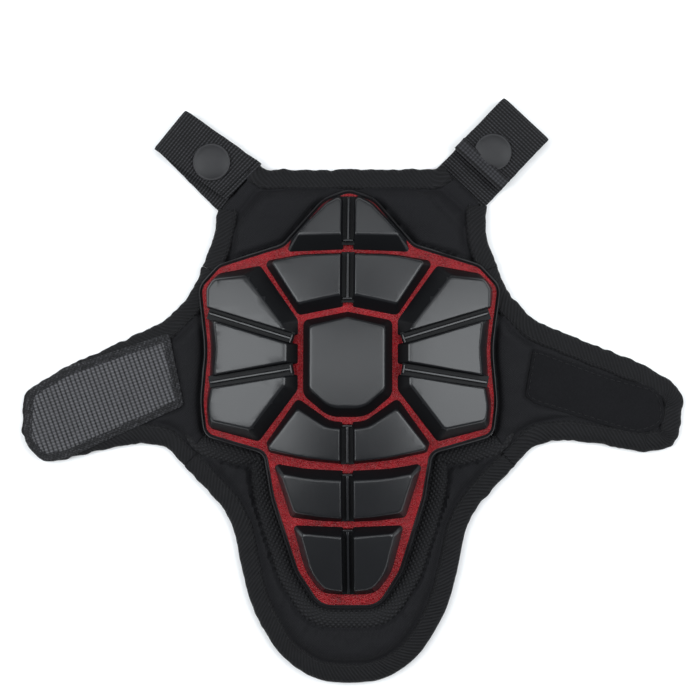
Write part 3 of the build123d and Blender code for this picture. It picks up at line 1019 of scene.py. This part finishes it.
def padded_fabric(name, corners, thick, side, sizes):
    """A closed padded form: outline, voxel remesh, cloth pressure, then its seams and folds."""
    outline = rounded(inset_corners(corners, 1.5), 8)
    piece = block(name, outline, outline, 0.0, thick)
    modify(piece, "REMESH", mode="VOXEL", voxel_size=0.0045)
    swell_up(piece, sizes.swell / MM)
    modify(piece, "SUBSURF", levels=2, render_levels=2)
    places = places_of(piece)
    share = np.clip(places[:, 2] / thick, 0, 1)
    swell = np.clip(places[:, 2] - thick, 0, sizes.swell / MM)
    level = fabric_level(places[:, :2], side, swell)
    floor = np.where(distance(places[:, :2], EDGE) < 11, 0.6, 0.0)
    places[:, 2] = floor + smooth(0.08, 0.92, share) * (level - floor)
    place(piece, places)
    return soften(piece, 80)


def line_back(piece, lining):
    """Lining mesh on the face against the back."""
    piece.data.materials.append(lining)
    for face in piece.data.polygons:
        face.material_index = int(face.normal.z < -0.7 and face.center.z < 0.0012)


def bend_with_wing(piece, side, slot, material, *nodes):
    hand = -1 if side == "left" else 1
    ends = [(hand * x, 0, 0) for x in WING_BEND]
    bend(piece, ("pad", f"{side}_wing"), ends, slot, material, *nodes)


class PROTECTOR_OT_fabric(Operator):
    """Make the padded fabric of the middle and of both wings"""

    bl_idname = "protector.fabric"
    bl_label = "Padded fabric"

    def execute(self, context):
        sizes, tints = context.scene.protector_sizes, context.scene.protector_colours
        cover, lining = knit_look(tints.fabric), lining_look(tints.lining)
        middle = padded_fabric("pad_fabric", middle_corners(), PAD_THICK, "middle", sizes)
        settle(middle, "pad", "pad_fabric", cover, "pad_core", "pad_cover", "neck_cover", "pad_lining",
               "left_strap_anchor", "right_strap_anchor")
        line_back(middle, lining)
        for side in ("left", "right"):
            wing = padded_fabric(f"{side}_wing_fabric", wing_corners(side), WING_THICK, side, sizes)
            bend_with_wing(wing, side, "pad_fabric", cover,
                           *(f"{side}_wing_{layer}" for layer in ("core", "cover", "lining")))
            line_back(wing, lining)
        return {"FINISHED"}


def clear_widths(line, width, hand=1):
    """Widths that keep a strip on one side of a line from crossing itself at tight bends."""
    widths, side = np.full(len(line), float(width)), normals(line) * hand
    for _ in range(8):
        widths = np.minimum(widths, distance(line + side * widths[:, None], line, closed=False) + 0.02)
    padded = np.pad(widths, 6, mode="edge")
    return np.convolve(padded, np.ones(13) / 13, mode="valid")


def binding_strip(name, first, last, width):
    """Edge binding folded round the outline between two of its points, with its stitches."""
    line = part_of(EDGE, first, last)
    widths = clear_widths(line, width)
    levels = tape_top(line[:, 0])

    def section(i):
        x, y = line[i]
        w, top = widths[i] * (1 + 0.05 * wrinkle(x, y, 6, 2.2)), levels[i]
        rough = 1 - 0.7 * smooth(-60, -85, y)
        out = -rough * (0.6 * wrinkle(x, y, 6, 4.4) + 0.6 * wrinkle(x, y, 2.6, 9.4))
        ripple = 0.4 * wrinkle(x, y, 5, 7.7) + 0.3 * wrinkle(x, y, 2.4, 2.9)
        return [(w + 0.1, top - 1.3), (w, top - 0.35), (w - 0.5, top + 0.1), (w * 0.75, top + 0.15 + ripple),
                (w * 0.5, top + 0.1 + ripple), (w * 0.28, top - 0.25), (1.2 + out, top - 1.1),
                (0.35 + out, top - 2.0), (out, top * 0.5), (0.35 + out, 1.3), (1.2 + out, 0.5), (3.0, 0.1),
                (w - 0.5, 0.0), (w, 0.3)]

    piece = cloth_strip(name, line, section, 1)
    seam = line + normals(line) * (widths - 1.3)[:, None]
    thread = stitches(name + "_stitches", seam, lambda points: tape_top(points[:, 0]) + 0.25)
    return piece, thread


class PROTECTOR_OT_bindings(Operator):
    """Make the folded edge binding and its stitching"""

    bl_idname = "protector.bindings"
    bl_label = "Edge binding"

    def execute(self, context):
        scene = context.scene
        width = scene.protector_sizes.tape_width / MM
        twill = twill_look(scene.protector_colours.binding)
        thread = thread_look(scene.protector_colours.thread)
        (top_x, top_y), (low_x, low_y) = (73.8, 47.5), (82.6, -51.5)    # ends of the wings' binding
        fixed = {
            "neck_edge_binding": ((-46, 100.3), (46, 99.0), "neck_binding"),
            "right_shoulder_binding": ((68.2, 78), (top_x, top_y)),
            "left_shoulder_binding": ((-top_x, top_y), (-66, 77)),
            "tail_edge_binding": ((low_x, low_y), (-low_x, low_y), "tail_binding"),
        }
        for name, (first, last, *nodes) in fixed.items():
            tape, seam = binding_strip(name, first, last, width)
            settle(tape, "pad", "binding_tape", twill, *nodes)
            settle(seam, "pad", "binding_tape", thread)
        for side, hand in (("left", -1), ("right", 1)):
            ends = [(hand * top_x, top_y), (hand * low_x, low_y)][::hand]
            tape, seam = binding_strip(f"{side}_wing_edge", *ends, width)
            bend_with_wing(tape, side, "binding_tape", twill, f"{side}_wing_binding")
            bend_with_wing(seam, side, "binding_tape", thread)
        return {"FINISHED"}


class PROTECTOR_OT_trim(Operator):
    """Make the knitted mesh trim round the lower shell"""

    bl_idname = "protector.trim"
    bl_label = "Mesh trim"

    def execute(self, context):
        line = part_of(ARMOUR_EDGE, (72, -32), (-72, -32))
        widths = clear_widths(line, 10.0, hand=-1)

        def section(i):
            x, y = line[i]
            w, ripple = widths[i], 0.3 * wrinkle(x, y, 6, 5.1)
            return [(-0.7, 6.0), (-1.0, 7.3), (-w * 0.3, 8.1 + ripple), (-w * 0.6, 8.3 + ripple),
                    (-w * 0.88, 8.0), (-w, 7.3), (-w - 0.2, 6.2)]

        settle(cloth_strip("mesh_trim_shape", line, section, 2), "pad", "trim_mesh",
               mesh_trim_look(context.scene.protector_colours.trim), "mesh_trim")
        return {"FINISHED"}


# ---------------------------------------------------------------- fastening tapes

HOOK_TURN = radians(20)  # the hook tape runs down and outwards
HOOK_START = (-82, -3.5)
HOOK_RUN, HOOK_SPREAD = (-6, 86), (-26, 26)      # the field of hooks, along and across from its start
HOOK_LEVELS, LOOP_LEVELS = (4.9, 5.95), (4.7, 5.8)


class PROTECTOR_OT_tapes(Operator):
    """Make the hook tape and the loop patch on the wings"""

    bl_idname = "protector.tapes"
    bl_label = "Hook and loop"

    def execute(self, context):
        scene = context.scene
        tints = scene.protector_colours
        selvedge = selvedge_look(tints.hook)
        thread = thread_look(tints.thread)
        rows = self.hook_rows(scene.protector_sizes.hook_pitch / MM)
        bend_with_wing(self.hook_base(), "left", "hook", selvedge, "hook_tape")
        bend_with_wing(rows, "left", "hook", hook_look(tints.hook))
        seam = self.seam("hook_tape_stitches", HOOK, 2.2, 6.05, 2.9)
        bend_with_wing(seam, "left", "hook", thread)
        bend_with_wing(self.loop_patch(), "right", "loop", brushed_look(tints.loop), "loop_patch")
        seam = self.seam("loop_patch_stitches", LOOP_OUTLINE, 1.6, 5.8, 3.4)
        bend_with_wing(seam, "right", "loop", thread)
        return {"FINISHED"}

    def seam(self, name, corners, inset, level, pitch):
        line = spaced(rounded(inset_corners(corners, inset)), 1.0, closed=True)
        return stitches(name, np.vstack([line, line[:1]]), lambda points: np.full(len(points), level), pitch)

    def hook_base(self):
        outline = rounded(HOOK)
        piece = sliced(block("hook_tape_shape", outline, outline, *HOOK_LEVELS, 0.35), 3.0)
        return soften(piece, 40)

    def hook_rows(self, pitch):
        """The field of hooks, sunk into the tape outside its selvedge."""
        step = pitch / 6
        along, across = np.meshgrid(np.arange(*HOOK_RUN, step), np.arange(*HOOK_SPREAD, step))
        ax, ay = -cos(HOOK_TURN), -sin(HOOK_TURN)
        x = HOOK_START[0] + along * ax - across * ay
        y = HOOK_START[1] + along * ay + across * ax
        rib = np.sqrt(0.5 - 0.5 * np.cos(2 * pi * along / pitch))
        hooks = 0.5 + 0.5 * np.cos(2 * pi * across / (pitch * 0.72))
        inner = depth(np.column_stack([x.ravel(), y.ravel()]), inset_corners(HOOK, 3.4)).reshape(x.shape)
        mask = smooth(-0.3, 0.9, inner)
        height = rib * (0.4 + 0.6 * hooks)
        z = 5.35 + mask * (0.35 + 1.0 * height)
        piece = surface("hook_rows", *x.shape[::-1], np.dstack([x, y, z]))
        mark_ribs(piece, mask * height)
        on_marked(piece, "vertices", (inner < -0.6).ravel(), lambda: bpy.ops.mesh.delete(type="VERT"))
        if piece.data.polygons[0].normal.z < 0:
            editing(piece, bpy.ops.mesh.flip_normals)
        modify(piece, "SOLIDIFY", thickness=0.0004, offset=-1)
        return soften(piece, 70)

    def loop_patch(self):
        outline = rounded(LOOP_OUTLINE)
        piece = sliced(block("loop_patch_shape", outline, outline, *LOOP_LEVELS, 0.4), 2.0)
        places = places_of(piece)
        inner = depth(places[:, :2], LOOP_OUTLINE)
        top = places[:, 2] > 5.5
        puff = 0.55 * smooth(1, 6, inner) - 0.35 * ridge(inner - 1.6, 0.8)
        folds = np.array([0.25 * wrinkle(x, y, 8, 1.9) for x, y, z in places])
        places[:, 2] += np.where(top, puff + folds * smooth(2, 5, inner), 0)
        place(piece, places)
        return soften(piece, 50)


# ---------------------------------------------------------------- straps

STRAP_ROOT = {"left": (56.0, 89.2), "right": (57.5, 89.4)}
STRAP_ANGLE = {"left": radians(39), "right": radians(47)}
FOLD = {"left": 39.8, "right": 41.2}         # where each webbing starts to turn over
FREE_END = {"left": -2.2, "right": 9.8}
# Edges across the strap, at the seam and at the fold, then at the flap's free end.
LEG_EDGES = {"left": ((-13, 17.6), (-12.1, 12.6)), "right": ((-15, 15.4), (-14.6, 15.8))}
FLAP_EDGES = {"left": ((-12.1, 12.6), (-15.0, 9.8)), "right": ((-14.6, 15.8), (-15.2, 15.6))}
END_SLANT = {"left": 0.11, "right": 0.0}
WEBBING, HEM = 1.4, 5.5  # thickness, and length turned over at the right flap's end
LEG_Z, FLAP_TOP = 1.0, 6.8
SEAM_BEND, FOLD_BEND = (-2.5, 3.5), (1.6, 5.6)   # along the strap at its seam, and levels at its fold
ROOT_HIDDEN = 9.0        # webbing sewn into the pad's edge


def strap_point(side, along, across, level):
    """A point measured from the middle of one shoulder seam."""
    hand = -1 if side == "left" else 1
    angle = STRAP_ANGLE[side]
    x, y = STRAP_ROOT[side]
    return (hand * (x + along * cos(angle) + across * sin(angle)),
            y + along * sin(angle) - across * cos(angle), level)


def webbing_strip(name, side, path, pitch, flip, edges, slant=0.0, thick=WEBBING):
    """Ribbed webbing along a path of (along, level, outward along, outward level, length so far)."""
    shares = np.linspace(0, 1, 33)
    if flip:
        shares = shares[::-1]
    (low_a, high_a), (low_b, high_b) = edges
    first, last = path[0][0], path[-1][0]
    rows, ribs = [], []
    for share in shares:
        selvedge = 0.35 * smooth(0.45, 0.5, abs(share - 0.5))
        row = []
        for along, level, out_along, out_level, run in path:
            part = (along - first) / (last - first)
            low, high = low_a + (low_b - low_a) * part, high_a + (high_b - high_a) * part
            rib = 0.5 + 0.5 * sin(2 * pi * run / pitch + 0.5 * wrinkle(run, share * 30, 4, 8.8))
            edge = 0.3 * wrinkle(run, share * 3, 4, 3.3) * (abs(share - 0.5) > 0.45)
            a = low + (high - low) * share
            lift = 0.45 * rib - 0.38 - selvedge
            shift = slant * a * (1 - min(abs(along - last) / 20, 1))
            row.append(strap_point(side, along + shift + out_along * lift, a + edge,
                                   level + out_level * lift))
            ribs.append(rib)
        rows.append(row)
    piece = surface(name, len(path), len(rows), rows)
    mark_ribs(piece, ribs)
    return soften(modify(piece, "SOLIDIFY", thickness=thick * MM, offset=-1), 55)


def mark_ribs(piece, values):
    mark = piece.data.attributes.new("rib", "FLOAT", "POINT")
    mark.data.foreach_set("value", np.asarray(values, np.float32).ravel())


def leg_path(side, step=0.25):
    count = int((FOLD[side] + ROOT_HIDDEN) / step)
    return [(s, LEG_Z + WEBBING, 0, 1, s) for s in np.linspace(-ROOT_HIDDEN, FOLD[side], count)]


def flap_path(side, step=0.25):
    """Round the fold and back along the top."""
    radius = (FLAP_TOP - LEG_Z) / 2
    start = FOLD[side] + 0.1
    path = [(start - 0.3, LEG_Z - 0.02, 0, -1, 0.0), (start - 0.1, LEG_Z - 0.01, 0, -1, 0.2)]
    for angle in np.linspace(-pi / 2, pi / 2, int(pi * radius / step)):
        out, up = cos(angle), sin(angle)
        path.append((start + radius * out, LEG_Z + radius + radius * up, out, up,
                     0.6 + radius * (angle + pi / 2)))
    run = path[-1][-1]
    reach = start - FREE_END[side]
    for s in np.linspace(0, reach, int(reach / step))[1:]:
        dip = 0.27 * smooth(0, 12, s) * smooth(0, 10, reach - s)
        path.append((start - s, FLAP_TOP - dip, 0, 1, run + s))
    return path


class PROTECTOR_OT_straps(Operator):
    """Make the shoulder webbing, its folded flaps and the hem"""

    bl_idname = "protector.straps"
    bl_label = "Shoulder straps"

    def execute(self, context):
        scene = context.scene
        pitch = scene.protector_sizes.rib_pitch / MM
        material = webbing_look(scene.protector_colours.webbing)
        thread = thread_look(scene.protector_colours.thread)
        for side, left in (("left", True), ("right", False)):
            strap = webbing_strip(f"{side}_leg", side, leg_path(side), pitch, not left, LEG_EDGES[side])
            ends = [Vector(strap_point(side, along, 0, LEG_Z)) * MM for along in SEAM_BEND]
            bend(strap, ("pad", f"{side}_strap"), ends, "webbing", material, f"{side}_strap_webbing")

            flap = webbing_strip(f"{side}_flap", side, flap_path(side), pitch, left, FLAP_EDGES[side],
                                 END_SLANT[side])
            if not left:
                flap = join([flap, self.hem(side, pitch)], "right_flap")
            ends = [Vector(strap_point(side, FOLD[side], 0, level)) * MM for level in FOLD_BEND]
            bend(flap, (f"{side}_strap", f"{side}_flap"), ends, "webbing", material, f"{side}_flap_webbing")
            self.sew(side, thread)
        return {"FINISHED"}

    def sew(self, side, thread):
        """Rows of stitches across the flap's free end."""
        places, level = ((3.0,), FLAP_TOP + 0.2) if side == "left" else ((1.2, 4.2), FLAP_TOP + 1.25)
        low, high = FLAP_EDGES[side][1]
        for k, inwards in enumerate(places):
            line = np.array([strap_point(side, FREE_END[side] + inwards + END_SLANT[side] * a, a, 0)[:2]
                             for a in (low + 1, high - 1)])
            row = stitches(f"{side}_flap_stitches_{k + 1}", line, lambda p: np.full(len(p), level), 3.0)
            settle(row, f"{side}_flap", "webbing", thread)

    def hem(self, side, pitch):
        """The end of the webbing, turned over onto itself."""
        low, high = FREE_END[side], FREE_END[side] + HEM
        path = [(low - 0.5, FLAP_TOP - 1.2, -1, 0, 0), (low - 0.9, FLAP_TOP - 0.4, -1, 0, 0.9),
                (low - 0.8, FLAP_TOP + 0.5, -1, 0.5, 1.8), (low - 0.1, FLAP_TOP + 1.0, 0, 1, 2.6)]
        path += [(s, FLAP_TOP + 1.05, 0, 1, 2.6 + s - low) for s in np.linspace(low + 0.3, high - 0.5, 20)]
        path += [(high, FLAP_TOP + 0.7, 1, 0.5, HEM + 3), (high + 0.1, FLAP_TOP - 0.2, 1, 0, HEM + 4)]
        return webbing_strip("hem", side, path, pitch, False, (FLAP_EDGES[side][1],) * 2, thick=0.7)


# Radius and level of each ring of a snap's cap, from the middle of its underside to its crown.
CAP_PROFILE = [(0.0, 6.75), (9.0, 6.75), (9.25, 6.95), (9.25, 7.35), (9.05, 7.6), (8.75, 7.66), (8.5, 7.55),
               (8.3, 7.6), (7.6, 7.95), (6.4, 8.35), (4.8, 8.65), (2.8, 8.85), (1.0, 8.9), (0.0, 8.9)]


class PROTECTOR_OT_snaps(Operator):
    """Make the snap caps and finish the other snap parts"""

    bl_idname = "protector.snaps"
    bl_label = "Snaps"

    def execute(self, context):
        material = snap_look(context.scene.protector_colours.snap)
        for side in ("left", "right"):
            for part in ("cap", "post", "stud", "socket"):
                finish(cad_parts[f"{side}_snap_{part}"], material)
            low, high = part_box(f"{side}_snap_cap")
            dome = self.cap(side, (low + high) / 2 / MM)
            settle(dome, f"{side}_flap", "snap", material, f"{side}_snap_cap")
        return {"FINISHED"}

    def cap(self, side, middle):
        """A shallow dome with a fine rim, turned from rings of one circle."""
        points = [(cos(a), -sin(a)) for a in np.linspace(0, 2 * pi, 73)]
        rows = [[(middle.x + r * x, middle.y + r * y, z) for x, y in points] for r, z in CAP_PROFILE]
        return soften(surface(f"{side}_snap_dome", len(points), len(rows), rows, closed=True), 45)


# ---------------------------------------------------------------- stage

# Place in metres, size in metres and watts of each light, which all point at the origin.
SOFTBOXES = {
    "left_softbox": ((-0.78, 0.08, 0.86), (0.9, 1.0), 12.5),
    "right_softbox": ((0.78, 0.08, 0.86), (0.9, 1.0), 12.5),
    "top_softbox": ((0, 0.14, 1.35), (0.7, 0.42), 2.7),
    "neck_softbox": ((0, 0.75, 1.0), (0.9, 0.4), 2.2),
}
DAYLIGHT, STUDIO_AIR = (0.94, 0.975, 1.0), (0.14, 0.14, 0.145)
FLOOR_LEVEL, CAMERA_Y = -0.0003, 0.006

class PROTECTOR_OT_stage(Operator):
    """Make the floor, the soft lights and the camera"""

    bl_idname = "protector.stage"
    bl_label = "Stage"

    def execute(self, context):
        scene = context.scene
        stage = scene.protector_stage
        deselect()
        bpy.ops.mesh.primitive_plane_add(size=6, location=(0, 0, FLOOR_LEVEL))
        floor = bpy.context.object
        floor.name = "studio_floor"
        finish(floor, floor_look(stage.floor))
        for name, (where, size, power) in SOFTBOXES.items():
            light = bpy.data.lights.new(name, "AREA")
            light.shape, light.size, light.size_y, light.energy = "RECTANGLE", *size, power
            light.color = DAYLIGHT
            lamp = bpy.data.objects.new(name, light)
            lamp.location = where
            lamp.rotation_euler = Vector(where).to_track_quat("Z", "Y").to_euler()
            scene.collection.objects.link(lamp)
        world = bpy.data.worlds.new("studio_air")
        world.use_nodes = True
        world.node_tree.nodes["Background"].inputs["Color"].default_value = (*STUDIO_AIR, 1)
        scene.world = world
        camera = bpy.data.cameras.new("camera")
        camera.lens = camera.sensor_width * stage.camera_height / stage.view_width
        viewer = bpy.data.objects.new("camera", camera)
        camera.shift_x = -stage.camera_side / stage.view_width
        viewer.location = (stage.camera_side, CAMERA_Y, stage.camera_height)
        scene.collection.objects.link(viewer)
        scene.camera = viewer
        scene.view_settings.view_transform = "Standard"
        return {"FINISHED"}


STEPS = (PROTECTOR_OT_plates, PROTECTOR_OT_shell, PROTECTOR_OT_fabric, PROTECTOR_OT_bindings,
         PROTECTOR_OT_trim, PROTECTOR_OT_tapes, PROTECTOR_OT_straps, PROTECTOR_OT_snaps,
         PROTECTOR_OT_stage)


class PROTECTOR_PT_panel(Panel):
    """Steps and settings of the back protector"""

    bl_label = "Back protector"
    bl_idname = "PROTECTOR_PT_panel"
    bl_space_type = "VIEW_3D"
    bl_region_type = "UI"
    bl_category = "Protector"

    def draw(self, context):
        for step in STEPS:
            self.layout.operator(step.bl_idname)
        for name, group in SETTINGS.items():
            box = self.layout.box()
            for field in group.__annotations__:
                box.prop(getattr(context.scene, name), field)


CLASSES = (*SETTINGS.values(), *STEPS, PROTECTOR_PT_panel)


def register():
    for item in CLASSES:
        bpy.utils.register_class(item)
    for name, group in SETTINGS.items():
        setattr(bpy.types.Scene, name, PointerProperty(type=group))


def unregister():
    for name in SETTINGS:
        delattr(bpy.types.Scene, name)
    for item in reversed(CLASSES):
        bpy.utils.unregister_class(item)


def main():
    register()
    for step in STEPS:
        group, action = step.bl_idname.split(".")
        getattr(getattr(bpy.ops, group), action)()


if __name__ == "__main__":
    main()
